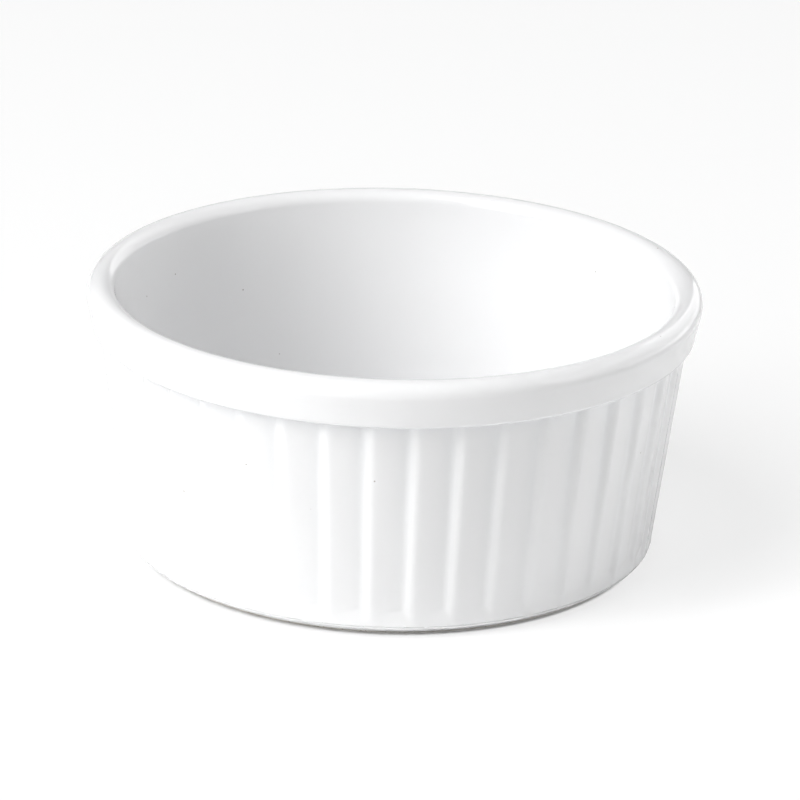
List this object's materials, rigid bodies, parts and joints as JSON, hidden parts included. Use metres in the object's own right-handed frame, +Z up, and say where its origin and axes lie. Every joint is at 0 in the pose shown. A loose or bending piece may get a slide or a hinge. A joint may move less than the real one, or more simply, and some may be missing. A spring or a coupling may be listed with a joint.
{
  "type": "ramekin",
  "caption": "Small round white porcelain baking dish with a straight reeded wall, plain collar, full round lip and a short foot ring.",
  "frame": {"origin": "centre of the dish on the plane that the foot ring stands on", "axes": "+Z up along the axis of the dish, out of its mouth; a reed crest faces -Y and +Y"},
  "size_m": [0.089, 0.089, 0.04],
  "materials": {
    "porcelain": "matte",
    "glaze": "gloss"
  },
  "bodies": {
    "root": {"porcelain_body": "porcelain", "glaze_coat": "glaze", "recess_glaze": "glaze"}
  },
  "joints": []
}
